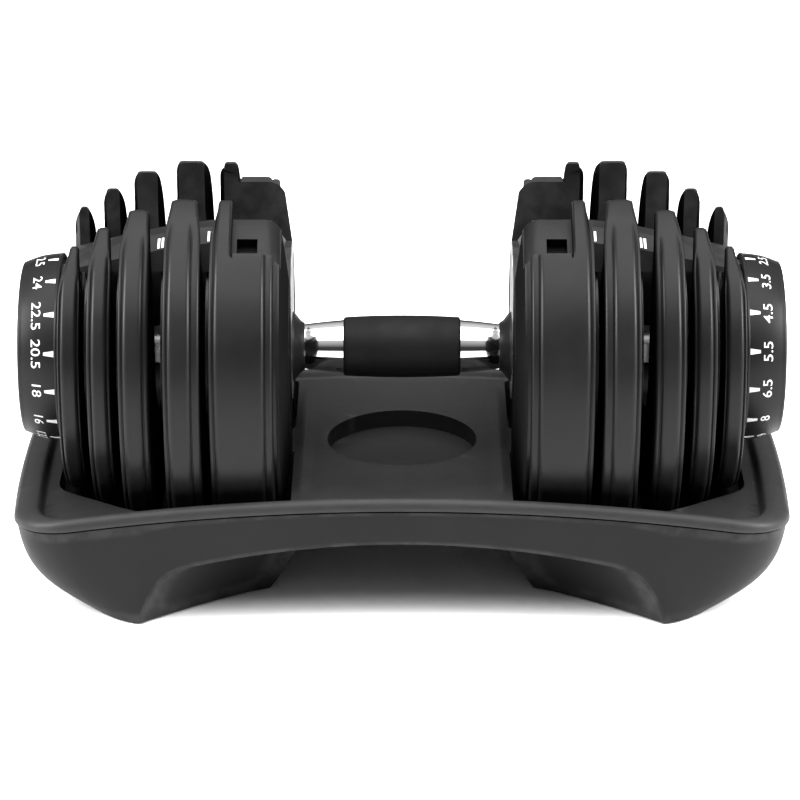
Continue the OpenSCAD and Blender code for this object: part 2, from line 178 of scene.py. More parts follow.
def rounded(mesh, name, width, angle=40, segments=3, sharp=30):
    """mesh with its sharp edges rounded."""
    base = new_object(name, mesh)
    mod = base.modifiers.new("round", "BEVEL")
    mod.width = width
    mod.segments = segments
    mod.limit_method = "ANGLE"
    mod.angle_limit = math.radians(angle)
    mod.use_clamp_overlap = True
    mod.harden_normals = False
    return applied(base, name, sharp)


def half_turn(mesh, name):
    """A copy of mesh turned half a turn about Z, from the right side to the left."""
    copy = mesh.copy()
    copy.name = name
    copy.transform(Matrix.Rotation(math.pi, 4, "Z"))
    return copy


def arc(cx, cr, radius, a0, a1, steps=5):
    """Points of an arc in an (x, radius) profile, angles in degrees from +x."""
    return [(cx + radius * math.cos(math.radians(a0 + (a1 - a0) * i / steps)),
             cr + radius * math.sin(math.radians(a0 + (a1 - a0) * i / steps)))
            for i in range(steps + 1)]


def place(mesh, name, node, material, extra_nodes=()):
    """Shows mesh in place of a CAD node, on that node's body."""
    obj = new_object(name, mesh)
    obj.data.materials.clear()
    obj.data.materials.append(material)
    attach(obj, BODY_OF[node])
    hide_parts(node, *extra_nodes)


def place_both(mesh, name, node, material, extra_nodes=()):
    """Shows a right-hand mesh on both sides; {} in each name stands for the side."""
    for side, s in SIDES.items():
        own = name.format(side)
        place(mesh if s > 0 else half_turn(mesh, own), own, node.format(side), material,
              [extra.format(side) for extra in extra_nodes])


def place_print(mesh, name, body):
    """Adds a printed marking that rides on a body and replaces no CAD node."""
    obj = new_object(name, mesh)
    obj.data.materials.append(PRINT)
    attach(obj, body)


# ---- materials ----

class Nodes:
    """A short way to build one procedural material."""

    def __init__(self, name):
        self.material = bpy.data.materials.new(name)
        self.material.use_nodes = True
        self.tree = self.material.node_tree
        self.shader = self.tree.nodes["Principled BSDF"]
        self.coords = self.tree.nodes.new("ShaderNodeTexCoord").outputs["Object"]

    def link(self, a, b):
        self.tree.links.new(a, b)

    def noise(self, scale, detail=4, rough=0.55, stretch=None):
        node = self.tree.nodes.new("ShaderNodeTexNoise")
        node.inputs["Scale"].default_value = scale
        node.inputs["Detail"].default_value = detail
        node.inputs["Roughness"].default_value = rough
        source = self.coords
        if stretch:
            mapping = self.tree.nodes.new("ShaderNodeMapping")
            mapping.inputs["Scale"].default_value = stretch
            self.link(self.coords, mapping.inputs["Vector"])
            source = mapping.outputs["Vector"]
        self.link(source, node.inputs["Vector"])
        return node.outputs["Fac"]

    def ramp(self, value, low, high, start=0.35, end=0.65):
        node = self.tree.nodes.new("ShaderNodeMapRange")
        node.inputs["From Min"].default_value = start
        node.inputs["From Max"].default_value = end
        node.inputs["To Min"].default_value = low
        node.inputs["To Max"].default_value = high
        self.link(value, node.inputs["Value"])
        return node.outputs["Result"]

    def mix(self, factor, first, second):
        node = self.tree.nodes.new("ShaderNodeMix")
        node.data_type = "RGBA"
        self.link(factor, node.inputs["Factor"])
        for socket, value in ((node.inputs["A"], first), (node.inputs["B"], second)):
            if isinstance(value, tuple):
                socket.default_value = (*value, 1)
            else:
                self.link(value, socket)
        return node.outputs["Result"]

    def bump(self, height, strength, distance, under=None):
        node = self.tree.nodes.new("ShaderNodeBump")
        node.inputs["Strength"].default_value = strength
        node.inputs["Distance"].default_value = distance
        self.link(height, node.inputs["Height"])
        if under:
            self.link(under, node.inputs["Normal"])
        return node.outputs["Normal"]

    def direction(self, axis):
        """One part of the direction that the surface faces."""
        geometry = self.tree.nodes.new("ShaderNodeNewGeometry")
        parts = self.tree.nodes.new("ShaderNodeSeparateXYZ")
        self.link(geometry.outputs["True Normal"], parts.inputs["Vector"])
        return parts.outputs[axis]

    def edges(self, start=0.52, end=0.6):
        """1 along worn convex edges, broken up by noise."""
        geometry = self.tree.nodes.new("ShaderNodeNewGeometry")
        sharp = self.ramp(geometry.outputs["Pointiness"], 0, 1, start, end)
        worn = self.tree.nodes.new("ShaderNodeMath")
        worn.operation = "MULTIPLY"
        self.link(sharp, worn.inputs[0])
        self.link(self.ramp(self.noise(90, 3), 0.3, 1, 0.4, 0.6), worn.inputs[1])
        return worn.outputs["Value"]


def grey(value, tint=0.0):
    return (value, value, value * (1 + tint))


def plastic(name, dark, light, rough, grain, grain_size, specular, worn, sides=False):
    """Moulded plastic: cloudy colour, uneven gloss, mould grain and paler edges.

    sides makes the faces that look along the bar matt."""
    n = Nodes(name)
    colour = n.mix(n.ramp(n.noise(14, 3), 0, 1, 0.3, 0.7), grey(dark, 0.02), grey(light, 0.02))
    colour = n.mix(n.edges(), colour, grey(worn, 0.02))
    gloss = n.ramp(n.noise(55, 5, 0.6), rough - 0.05, rough + 0.06, 0.3, 0.7)
    n.shader.inputs["Specular IOR Level"].default_value = specular
    if sides:
        along = n.tree.nodes.new("ShaderNodeMath")
        along.operation = "ABSOLUTE"
        n.link(n.direction("X"), along.inputs[0])
        n.link(n.ramp(along.outputs["Value"], specular, 0, 0.75, 0.97),
               n.shader.inputs["Specular IOR Level"])
    n.link(colour, n.shader.inputs["Base Color"])
    n.link(gloss, n.shader.inputs["Roughness"])
    soft = n.bump(n.noise(60, 2), 0.15, 0.3 * MM)
    n.link(n.bump(n.noise(grain_size, 2, 0.5), grain, 0.12 * MM, soft), n.shader.inputs["Normal"])
    return n.material


def metal(name, tone, rough, brushed=0.0, tint=0.0):
    """Bare or plated metal, with fine turning lines where brushed is above 0."""
    n = Nodes(name)
    clouds = n.noise(30, 3)
    low = tuple(c * 0.9 for c in grey(tone, tint))
    n.link(n.mix(n.ramp(clouds, 0, 1), low, grey(tone, tint)), n.shader.inputs["Base Color"])
    n.link(n.ramp(n.noise(140, 4), rough * 0.85, rough * 1.25), n.shader.inputs["Roughness"])
    lines = n.noise(60, 3, 0.6, stretch=(60, 1, 1)) if brushed else n.noise(300, 2)
    n.link(n.bump(lines, max(brushed, 0.02), 0.05 * MM), n.shader.inputs["Normal"])
    n.shader.inputs["Metallic"].default_value = 1.0
    return n.material


def rubber(name, tone, rough, grain):
    """Dull, finely pitted rubber."""
    n = Nodes(name)
    clouds = n.noise(25, 4)
    n.link(n.mix(n.ramp(clouds, 0, 1), grey(tone * 0.8), grey(tone * 1.2)),
           n.shader.inputs["Base Color"])
    n.link(n.ramp(n.noise(80, 4), rough - 0.06, rough + 0.05), n.shader.inputs["Roughness"])
    pits = n.noise(1800, 2)
    n.link(n.bump(pits, grain, 0.15 * MM), n.shader.inputs["Normal"])
    n.shader.inputs["Specular IOR Level"].default_value = 0.14
    return n.material


def paint(name, tone):
    """Printed white: matt and a little uneven."""
    n = Nodes(name)
    n.link(n.mix(n.ramp(n.noise(700, 3), 0, 1), grey(tone * 0.86), grey(tone)),
           n.shader.inputs["Base Color"])
    n.link(n.ramp(n.noise(300, 2), 0.5, 0.62), n.shader.inputs["Roughness"])
    n.link(n.bump(n.noise(1500, 2), 0.1, 0.05 * MM), n.shader.inputs["Normal"])
    return n.material


COVER = plastic("cover_plastic", 0.0045, 0.0065, 0.38, 0.12, 1500, 0.15, 0.016, sides=True)
TRAY = plastic("tray_top_plastic", 0.0115, 0.0145, 0.5, 0.7, 1300, 0.2, 0.03)
SHELL = plastic("tray_shell_plastic", 0.0055, 0.007, 0.47, 0.12, 1800, 0.12, 0.02)
DIAL = plastic("dial_plastic", 0.0045, 0.006, 0.42, 0.12, 1600, 0.15, 0.016)
FRAME = plastic("frame_plastic", 0.0075, 0.0095, 0.40, 0.12, 1600, 0.15, 0.02)
DISC = plastic("disc_plastic", 0.02, 0.026, 0.42, 0.10, 1600, 0.22, 0.04)
CHROME = metal("chrome", 0.7, 0.06, tint=0.01)
STEEL = metal("turned_steel", 0.25, 0.3, 0.25)
ZINC = metal("zinc_steel", 0.3, 0.34, 0.1)
CORE = metal("core_steel", 0.1, 0.5, 0.2)
GRIP = rubber("grip_rubber", 0.0035, 0.62, 0.5)
FOOT = rubber("foot_rubber", 0.006, 0.8, 0.4)
PRINT = paint("dial_print", 0.6)

MATERIALS = {
    "cover_plastic": COVER, "tray_top_plastic": TRAY, "tray_shell_plastic": SHELL,
    "dial_plastic": DIAL, "frame_plastic": FRAME, "disc_plastic": DISC, "chrome": CHROME,
    "axle_steel": STEEL, "spring_steel": ZINC, "screw_steel": ZINC, "core_steel": CORE,
    "grip_rubber": GRIP, "foot_rubber": FOOT,
}


# ---- weight plates ----

def face_rings(x, r0, r1):
    """Rings on a flat face at x, from radius r0 to r1, close enough to bend the face smoothly."""
    steps = max(1, round(abs(r1 - r0) / (6 * MM)))
    return [(x, r0 + (r1 - r0) * i / steps) for i in range(steps + 1)]


# Width in mm of the low step at the inner and at the outer edge of each plate's rim
RIM_STEPS = {1: (1.0, 1.5), 2: (1.6, 2.2), 3: (2.6, 2.0), 4: (4.6, 2.0), 5: (4.2, 2.2)}


def rim_profile(k, x0, x1, radius):
    """Ring profile from inner face x0 to outer face x1: a crowned band between two low steps."""
    w = x1 - x0
    low = radius - 1.5 * MM
    inner_w, outer_w = (step * MM for step in RIM_STEPS[k])
    corner = min(2 * MM, inner_w - 0.6 * MM)
    outer_corner = min(1.2 * MM, outer_w - 0.6 * MM)
    blend = min(3.4 * MM, 0.22 * w)
    band0 = x0 + inner_w
    band1 = x1 - outer_w
    points = face_rings(x0, SLOT, low - corner)
    points += arc(x0 + corner, low - corner, corner, 180, 90, 5)[1:]
    points += [(band0 - 0.5 * MM, low), (band0, low - 0.4 * MM)]
    points += arc(band0 + blend, radius - blend, blend, 155, 90, 6)
    flat = band1 - band0 - 2 * blend
    rings = max(1, round(flat / (1.2 * MM)))
    points += [(band0 + blend + flat * i / rings, radius) for i in range(1, rings)]
    points += arc(band1 - blend, radius - blend, blend, 90, 25, 6)
    points += [(band1, low - 0.4 * MM), (band1 + 0.5 * MM, low)]
    points += arc(x1 - outer_corner, low - outer_corner, outer_corner, 90, 0, 4)
    points += face_rings(x1, low - outer_corner, SLOT)[1:]
    return points


def plate_size(k):
    """(inner x, outer x, radius) of plate k on the right."""
    low, high = box(f"plate_cover_right_{k}")
    return low.x, high.x - TAB, (high.y - low.y) / 2


def slot_cutter(x0, x1):
    return block((x0 - 5 * MM, -SLOT, AXIS_Z), (x1 + 5 * MM, SLOT, AXIS_Z + 0.2))


# Where each plate's horn starts, and how wide its tip is, as shares of the plate's thickness
HORN_PLACE = {1: (0.12, 0.43), 2: (0.12, 0.58), 3: (0.06, 0.71), 4: (0.12, 0.74)}


def divided(mesh, name):
    """mesh with extra rows of points just behind the slot's two side faces."""
    bm = bmesh.new()
    bm.from_mesh(mesh)
    for offset in (0.3, 0.9, 1.8, 3, 4.6, 8, 14, 20, 28):
        for s in (-1, 1):
            bmesh.ops.bisect_plane(bm, geom=bm.verts[:] + bm.edges[:] + bm.faces[:], dist=1e-7,
                                   plane_co=(0, s * (SLOT + offset * MM), 0), plane_no=(0, 1, 0))
    bmesh.ops.triangulate(bm, faces=[f for f in bm.faces if len(f.verts) > 4])
    return mesh_from(bm, name)


def sunk(distance, radius):
    """How far a rounded corner of the given radius lies below its flat, at distance from the edge."""
    short = max(0.0, radius - distance)
    return radius - math.sqrt(max(0.0, radius ** 2 - short ** 2))


def thin_horns(mesh, k, x0, x1, radius):
    """Thins the plate towards the slot's upper edges, so that each horn ends in a slim round tip."""
    top = math.sqrt(radius ** 2 - SLOT ** 2)
    start, share = HORN_PLACE[k]
    w = x1 - x0
    tip_w = w * share
    for v in mesh.vertices:
        h = v.co.z - AXIS_Z
        beside = abs(v.co.y) - SLOT
        near = 1 - beside / (27 * MM)
        high = smooth_step((h - (top - 52 * MM)) / (24 * MM))
        t = smooth_step(near) * high
        if t <= 0:
            continue
        across = (v.co.x - x0) / w
        v.co.x = x0 + w * (across * (1 - t) + (start + across * share) * t)
        r = math.hypot(v.co.y, h)
        if r > radius - 4.2 * MM:
            edge = max(0.0, min(across, 1 - across)) * tip_w
            smooth = radius - sunk(edge, min(2 * MM, 0.4 * tip_w))
            new = r + (smooth - r) * min(1.0, 3 * t)
            new -= sunk(beside, 2.4 * MM) * high
            v.co.y *= new / r
            v.co.z = AXIS_Z + h * new / r
            if abs(v.co.y) < SLOT:
                v.co.y = math.copysign(SLOT, v.co.y)


def tab_block(x1):
    """Corners of the pick-up tab on a plate's outer face."""
    return (x1 - 1 * MM, -6 * MM, AXIS_Z - 45.2 * MM), (x1 + TAB, 6 * MM, AXIS_Z - 39 * MM)


def joined(meshes, name, sharp=35):
    bm = bmesh.new()
    for mesh in meshes:
        bm.from_mesh(mesh)
    mesh = bpy.data.meshes.new(name)
    bm.to_mesh(mesh)
    bm.free()
    return shaded(mesh, sharp)


def finished_plate(body, x1, name):
    """A plate's body with its edges marked and its pick-up tab added."""
    shaded(body, 42)
    tab = rounded(mesh_from(block(*tab_block(x1)), "tab"), "tab", 0.4 * MM)
    return joined([body, tab], name)


def plate_mesh(k):
    """One of the four thin plates on the right."""
    x0, x1, radius = plate_size(k)
    name = f"plate_{k}"
    base = mesh_from(turned(rim_profile(k, x0, x1, radius)), name)
    body = divided(cut(base, [slot_cutter(x0, x1)], name), name)
    thin_horns(body, k, x0, x1, radius)
    return finished_plate(body, x1, name)


# The thick plate: a step beside the slot, sunk to STEP_R, leaves one horn between HORN_X
STEP_TURN = math.radians(41)
STEP_R = 94 * MM
STEP_BEND = 11 * MM
HORN_X = (93.7 * MM, 101.6 * MM)
HORN_MIDDLE = sum(HORN_X) / 2
BAND_X = 70.6 * MM              # inner edge of the thick plate's rim
CONE_END_R = 96.2 * MM
WINDOW_X = (79.6 * MM, 91 * MM)
WINDOW_HALF = 7.8 * MM
WINDOW_TURN = math.radians(35.6)
WINDOW_DEPTH = 8 * MM


def shape_flange(mesh, radius):
    """Narrows the outer shoulder beside the slot and rounds the tips of the flange's horns."""
    top = math.sqrt(radius ** 2 - SLOT ** 2)
    for v in mesh.vertices:
        h = v.co.z - AXIS_Z
        beside = abs(v.co.y) - SLOT
        high = smooth_step((h - (top - 60 * MM)) / (20 * MM))
        if v.co.x > HORN_X[1] and high > 0:
            t = smooth_step(1 - beside / (30 * MM)) * high
            v.co.x += (HORN_X[1] - v.co.x) * t
        r = math.hypot(v.co.y, h)
        angle = abs(math.atan2(v.co.y, h))
        if r > radius - 4 * MM and high > 0 and v.co.x > HORN_X[0] - 0.1 * MM:
            edge = min(v.co.x - HORN_X[0], HORN_X[1] - v.co.x) if angle < STEP_TURN else 1
            t = smooth_step(1 - beside / (22 * MM)) * high
            new = r - sunk(max(0.0, edge), 2 * MM) * (t if v.co.x > HORN_MIDDLE else high)
            new -= sunk(beside, 2.4 * MM) * high
            v.co.y *= new / r
            v.co.z = AXIS_Z + h * new / r
            if abs(v.co.y) < SLOT:
                v.co.y = math.copysign(SLOT, v.co.y)


def thick_profile(face, x1, radius):
    """Ring profile of the thick plate: a cone on the inner side, then the rim."""
    ring = [p for p in rim_profile(PLATES, BAND_X, x1, radius)
            if p[0] > BAND_X or p[1] > CONE_END_R + 0.1 * MM]
    cone = [(face, SLOT), (face, 60 * MM)]
    cone += arc(face + 3 * MM, 60.5 * MM, 3 * MM, 180, 150, 3)
    cone += [(67.5 * MM, 92.5 * MM), (69 * MM, 96 * MM), (BAND_X, CONE_END_R)]
    return cone + ring


def step_cutter(face, reach):
    """What is cut from the rim beside the slot, up to the horn."""
    near = face - 8 * MM
    step = [(near, STEP_R - STEP_BEND)]
    step += arc(65.5 * MM + STEP_BEND, STEP_R - STEP_BEND, STEP_BEND, 180, 90, 8)
    step += [(HORN_X[0], STEP_R), (HORN_X[0], reach), (near, reach)]
    return turned(step, 48, -STEP_TURN, 2 * STEP_TURN)


def window_cutter(side):
    """The small window in the step, on the front or the back."""
    window = block((WINDOW_X[0], -WINDOW_HALF, AXIS_Z + STEP_R - WINDOW_DEPTH),
                   (WINDOW_X[1], WINDOW_HALF, AXIS_Z + STEP_R + 20 * MM))
    bmesh.ops.rotate(window, verts=window.verts, cent=(0, 0, AXIS_Z),
                     matrix=Matrix.Rotation(side * WINDOW_TURN, 3, "X"))
    return window


def inner_plate_mesh():
    """The thick plate: band, full flange, stepped part beside the slot, conical inner face."""
    face, x1, radius = plate_size(PLATES)
    name = f"plate_{PLATES}"
    base = mesh_from(turned(thick_profile(face, x1, radius)), name)
    cutters = [step_cutter(face, radius + 20 * MM), slot_cutter(face, x1)]
    cutters += [window_cutter(side) for side in (-1, 1)]
    cutters.append(block((face - 5 * MM, -20 * MM, AXIS_Z - 98 * MM), (BAND_X, 20 * MM, AXIS_Z)))
    body = divided(cut(base, cutters, name), name)
    shape_flange(body, radius)
    return finished_plate(body, x1, name)


def build_plates():
    for k in range(1, PLATES + 1):
        mesh = inner_plate_mesh() if k == PLATES else plate_mesh(k)
        place_both(mesh, f"plate_{{}}_{k}", f"plate_cover_{{}}_{k}", COVER,
                   [f"plate_core_{{}}_{k}"])


# ---- handle ----

def closed_ring(profile, inner):
    """A turned profile closed by a bore of the given radius."""
    return [(profile[0][0], inner)] + profile + [(profile[-1][0], inner)]


BAR_END_R = 12.85 * MM
NECK_X = 55.4 * MM              # the bar tapers from the grip to here
GRIP_R = 17.75 * MM
GRIP_END_R = 16.75 * MM


def mirrored(half):
    """A whole profile from its right half, whose first point lies on the middle."""
    return [(-x, r) for x, r in reversed(half[1:])] + half


def build_bar(bar_r, grip, bar_end):
    """The chromed bar, straight under the grip and tapered towards both ends."""
    start = (grip + 1.2 * MM, bar_r - 0.15 * MM)
    half = [(0, bar_r), (grip + 0.4 * MM, bar_r), start]
    steps = 10
    for i in range(1, steps + 1):
        t = i / steps
        half.append((start[0] + (NECK_X - grip - 1.2 * MM) * t,
                     start[1] - (start[1] - BAR_END_R) * (0.75 * t + 0.25 * t * t)))
    half.append((bar_end, BAR_END_R))
    ring = closed_ring(mirrored(half), 6 * MM)
    place(mesh_from(turned(ring, 128), "bar"), "bar", "handle_tube", CHROME)


def build_grip(bar_r, grip):
    """The rubber sleeve, a little thicker in the middle."""
    corner = 1.4 * MM
    crown = 12
    half = []
    for i in range(crown + 1):
        share = i / crown * 0.955
        half.append((grip * share, GRIP_R - (GRIP_R - GRIP_END_R) * share ** 2))
    half += arc(grip - corner, GRIP_END_R - corner, corner, 75, 0, 5)
    half += [(grip, bar_r + 0.4 * MM), (grip - 0.5 * MM, bar_r)]
    ring = closed_ring(mirrored(half), bar_r - 1 * MM)
    place(mesh_from(turned(ring, 128), "grip"), "grip", "grip_sleeve", GRIP)


def build_handle():
    """The bar, the grip and the cone at each end of the bar."""
    low, high = box("handle_tube")
    bar_r = (high.z - low.z) / 2
    grip = box("grip_sleeve")[1].x
    build_bar(bar_r, grip, high.x)
    build_grip(bar_r, grip)

    x0, x1 = (corner.x for corner in box("collar_right"))
    cone = [(x0 + 0.3 * MM, BAR_END_R), (x0, BAR_END_R + 0.35 * MM)]
    cone += [(x0 + 0.2 * MM, BAR_END_R + 0.8 * MM), (x0 + 1.0 * MM, BAR_END_R + 1.2 * MM)]
    cone += [(x0 + 2.4 * MM, BAR_END_R + 2.2 * MM)]
    cone += [(x1 - 1.6 * MM, 18.9 * MM), (x1 - 0.8 * MM, 19.7 * MM), (x1, 20 * MM)]
    mesh = mesh_from(turned(cone + [(x1, BAR_END_R)], 96), "collar")
    place_both(mesh, "collar_cone_{}", "collar_{}", FRAME)


# Height in mm of the frame's ridge over the bar's axis, as (x, height)
FRAME_RIDGE = [(66, 62), (74, 73.7), (108, 74), (134, 70.2), (157, 65.2), (173, 59.7), (188, 54.5)]
# Marks on the frame: (x of the first line, x past the last gap, number of lines) in mm
FRAME_MARKS = ((105.6, 109.8, 2), (131.2, 138, 3))
LINE_SHARE = 0.62


def build_frame_marks():
    """Small plain white marks printed on the frame's sloping front and back, between the plates."""
    for side, s in SIDES.items():
        bm = bmesh.new()
        for x0, x1, lines in FRAME_MARKS:
            pitch = (x1 - x0) / lines
            for face in (-1, 1):
                for i in range(lines):
                    a = x0 + pitch * i
                    b = a + pitch * LINE_SHARE
                    quad = []
                    for x, share in ((a, 0.3), (b, 0.3), (b, 0.9), (a, 0.9)):
                        y = 6 + 14 * share
                        z = between(FRAME_RIDGE, x) - 5 * share + 0.12
                        quad.append(bm.verts.new((s * x * MM, face * y * MM, AXIS_Z + z * MM)))
                    bm.faces.new(quad)
        place_print(mesh_from(bm, "frame_marks"), f"frame_marks_{side}", "handle")


# ---- dials ----

DIAL_IN, DIAL_OUT = (corner.x for corner in box("dial_right"))
DIAL_R = (box("dial_right")[1].z - box("dial_right")[0].z) / 2


def dial_radius(x):
    """Radius of the dial's barrel at x."""
    t = (x - DIAL_IN) / (DIAL_OUT - DIAL_IN)
    return DIAL_R - 0.3 * MM - 5.2 * MM * t ** 2.1


def dial_profile():
    """Closed profile of the knob: rim, barrel, dished outer face and the hollow inside."""
    edge = 1.8 * MM
    outer = [(DIAL_IN, 50.8 * MM), (DIAL_IN, DIAL_R - 1.1 * MM), (DIAL_IN + 0.4 * MM, DIAL_R - 0.3 * MM),
             (DIAL_IN + 1.0 * MM, DIAL_R), (DIAL_IN + 1.7 * MM, DIAL_R - 0.1 * MM)]
    steps = 16
    start = DIAL_IN + 2.0 * MM
    stop = DIAL_OUT - edge
    outer += [(start + (stop - start) * i / steps, dial_radius(start + (stop - start) * i / steps))
              for i in range(steps + 1)]
    r = dial_radius(stop)
    outer += arc(stop, r - edge, edge, 75, 0, 5)
    outer += [(DIAL_OUT, 42 * MM), (DIAL_OUT - 1.2 * MM, 40.5 * MM), (DIAL_OUT - 1.6 * MM, 22 * MM),
              (DIAL_OUT - 0.8 * MM, 20 * MM), (DIAL_OUT - 0.8 * MM, 14 * MM)]
    inner = [(DIAL_OUT - 4 * MM, 14 * MM), (DIAL_OUT - 4 * MM, 42 * MM), (DIAL_IN + 4 * MM, 50.8 * MM)]
    return outer + inner


def on_barrel(angle, u, x, lift):
    """A point on the right dial: u along the rim from the given angle, lifted off the surface."""
    r = dial_radius(x)
    a = angle - u / r
    r += lift
    return Vector((x, -r * math.sin(a), AXIS_Z + r * math.cos(a)))


def text_mesh(text):
    """The digits of one number as a flat mesh in the XY plane."""
    curve = bpy.data.curves.new("digits", "FONT")
    curve.body = text
    curve.size = 7.4 * MM
    curve.align_x = "CENTER"
    curve.align_y = "CENTER"
    curve.offset = 0.02 * MM
    curve.resolution_u = 4
    curve.extrude = 0.05 * MM
    obj = new_object("digits", curve)
    graph = bpy.context.evaluated_depsgraph_get()
    mesh = bpy.data.meshes.new_from_object(obj.evaluated_get(graph))
    bpy.data.objects.remove(obj, do_unlink=True)
    return mesh


DIGIT_X = 204.4 * MM
DIGIT_STRETCH = 1.34
TICK_X = (194.2 * MM, 200.0 * MM)
TICK_HALF = (1.7 * MM, 0.85 * MM)


def lay_number(bm, text, angle):
    """Adds one number, centred on the given angle of the barrel."""
    mesh = text_mesh(text)
    low = min(v.co.y for v in mesh.vertices)
    high = max(v.co.y for v in mesh.vertices)
    left = min(v.co.x for v in mesh.vertices)
    right = max(v.co.x for v in mesh.vertices)
    for v in mesh.vertices:
        u = (v.co.x - (left + right) / 2) * DIGIT_STRETCH
        up = v.co.y - (low + high) / 2
        v.co = on_barrel(angle, u, DIGIT_X - up, v.co.z + 0.10 * MM)
    bm.from_mesh(mesh)
    bpy.data.meshes.remove(mesh)


def lay_tick(bm, angle):
    """Adds the tapered tick beside a number, as a thin closed body."""
    rows = 4
    grid = []
    for row in range(rows + 1):
        t = row / rows
        x = TICK_X[0] + (TICK_X[1] - TICK_X[0]) * t
        half = TICK_HALF[0] + (TICK_HALF[1] - TICK_HALF[0]) * t
        grid.append([[bm.verts.new(on_barrel(angle, side * half, x, lift))
                      for side in (-1, 0, 1)] for lift in (0.12 * MM, -0.1 * MM)])
    for near, far in zip(grid, grid[1:]):
        for a, b in zip(near, far):
            for j in range(2):
                bm.faces.new((a[j], a[j + 1], b[j + 1], b[j]))
        for j in (0, 2):
            bm.faces.new((near[0][j], far[0][j], far[1][j], near[1][j]))
    for top, bottom in (grid[0], grid[-1]):
        for j in range(2):
            bm.faces.new((top[j], top[j + 1], bottom[j + 1], bottom[j]))


def print_mesh(offset):
    """All numbers and ticks of one dial, laid on the right dial's barrel."""
    bm = bmesh.new()
    for i, text in enumerate(SETTINGS):
        lay_number(bm, text, STEP * i + offset)
        lay_tick(bm, STEP * i + offset)
    return mesh_from(bm, "dial_print", 40)


# How far each dial's numbers stand round from the exact top at rest
DIAL_TURN = {"right": math.radians(1.0), "left": math.radians(-2.5)}


def build_dials():
    dial = mesh_from(turned(dial_profile(), 192), "dial", 32)
    for side, s in SIDES.items():
        name = f"knob_{side}"
        place(dial if s > 0 else half_turn(dial, name), name, f"dial_{side}", DIAL)
        numbers = print_mesh(DIAL_TURN[side])
        if s < 0:
            numbers.transform(Matrix.Rotation(math.pi, 4, "Z"))
        place_print(numbers, f"numbers_{side}", f"dial_{side}")


# ---- tray ----

CORNER_R = 36 * MM
END_ARC_R = 1200 * MM           # the tray's two ends are bowed over this radius


def outline(inset, widen=0.0, count=28):
    """Plan points of the tray's rim, drawn in by inset, and by widen more at the two ends."""
    corner = CORNER_R
    bulge = END_ARC_R
    straight = TRAY_Y - corner
    end_x = TRAY_X - bulge
    join = end_x + math.sqrt(bulge ** 2 - straight ** 2)
    quarter = []
    for i in range(count):
        y = straight * i / count
        quarter.append((end_x + math.sqrt(bulge ** 2 - y ** 2), y))
    for i in range(count + 1):
        a = math.radians(90 * i / count)
        quarter.append((join - corner + corner * math.cos(a), straight + corner * math.sin(a)))
    for i in range(1, count + 1):
        quarter.append(((join - corner) * (1 - i / count), TRAY_Y))
    ring = quarter[:-1]
    ring += [(-x, y) for x, y in reversed(quarter)]
    ring += [(-x, -y) for x, y in quarter[1:-1]]
    ring += [(x, -y) for x, y in reversed(quarter[1:])]
    points = []
    for i, p in enumerate(ring):
        along = (Vector(ring[(i + 1) % len(ring)]) - Vector(ring[i - 1])).normalized()
        normal = Vector((along.y, -along.x))
        points.append(Vector(p) - normal * (inset + widen * normal.x ** 2))
    return points


def arched(x, z):
    """Height z at distance x from the middle, once the tray is arched."""
    return z - x * x / (2 * ARCH_R)


# Plan of a well in mm: its edge, and the tongue that stands into it beside the deck
WELL_EDGE = [(61.6, 92), (62.4, 94.6), (64.5, 95.7), (70, 96), (128, 96), (139, 94.6), (148, 90.4),
             (158, 82), (174, 66), (186, 54), (191.3, 47.5), (194.2, 41), (195, 35)]
TONGUE_EDGE = [(61.6, 19.5), (62.3, 18.4), (66.8, 18), (68, 17), (68.5, 15.5)]
WELL_POINTS = [(x, -y) for x, y in WELL_EDGE] + WELL_EDGE[::-1]
WELL_POINTS += TONGUE_EDGE + [(x, -y) for x, y in reversed(TONGUE_EDGE)]


def well_outline(side):
    """The well's plan on one side, with long edges divided."""
    points = []
    total = len(WELL_POINTS)
    for i, p in enumerate(WELL_POINTS):
        a = Vector(p) * MM
        b = Vector(WELL_POINTS[(i + 1) % total]) * MM
        parts = max(1, round((b - a).length / (8 * MM)))
        points += [a + (b - a) * j / parts for j in range(parts)]
    return [side * p for p in points]


def deck_height(x, y):
    """The deck's own height before it is arched: soft beads beside the wells."""
    bead = abs(abs(x) - 56.5 * MM) / (5.5 * MM)
    along = 1 - smooth_step((abs(y) - 66 * MM) / (22 * MM))
    return DECK + 1.5 * MM * (1 - smooth_step(bead)) * along


PLATE_SPANS = [plate_size(k) for k in range(1, PLATES + 1)]


def well_floor(x, y):
    """Height of the well's trough, stepped between plates."""
    x = abs(x)
    radius = PLATE_SPANS[0][2]
    for _, outer, plate_r in PLATE_SPANS:
        if x < outer + 9 * MM:
            radius = plate_r
    r = radius + 5 * MM
    if abs(y) >= r:
        return DECK
    return AXIS_Z - math.sqrt(r * r - y * y)


# Section through the lip in mm, from its outer edge: (inset, height over the seam)
LIP_PROFILE = [(4.2, 0.4), (0.9, 0.4), (0.25, 0.7), (0.0, 1.3), (0.1, 2.8), (0.6, 4.4), (1.5, 5.8),
               (2.9, 6.7), (4.4, 6.9), (5.6, 6.5), (6.7, 5.4), (7.6, 4.0), (8.3, 3.0), (9.2, 2.5)]
END_WIDENING = 8.5 * MM         # how much wider the lip is at the two ends
DISH_R = 43 * MM
DISH_DEPTH = 10 * MM
DISH_SIDES = 96
WELL_TOP = 46 * MM              # the wells' floors rise no higher than this
DECK_PART, WELL_PART, DISH_PART = 1, 2, 3


def each(faces, kind):
    """The edges or verts of faces, once each and in a steady order."""
    return list(dict.fromkeys(item for f in faces for item in getattr(f, kind)))


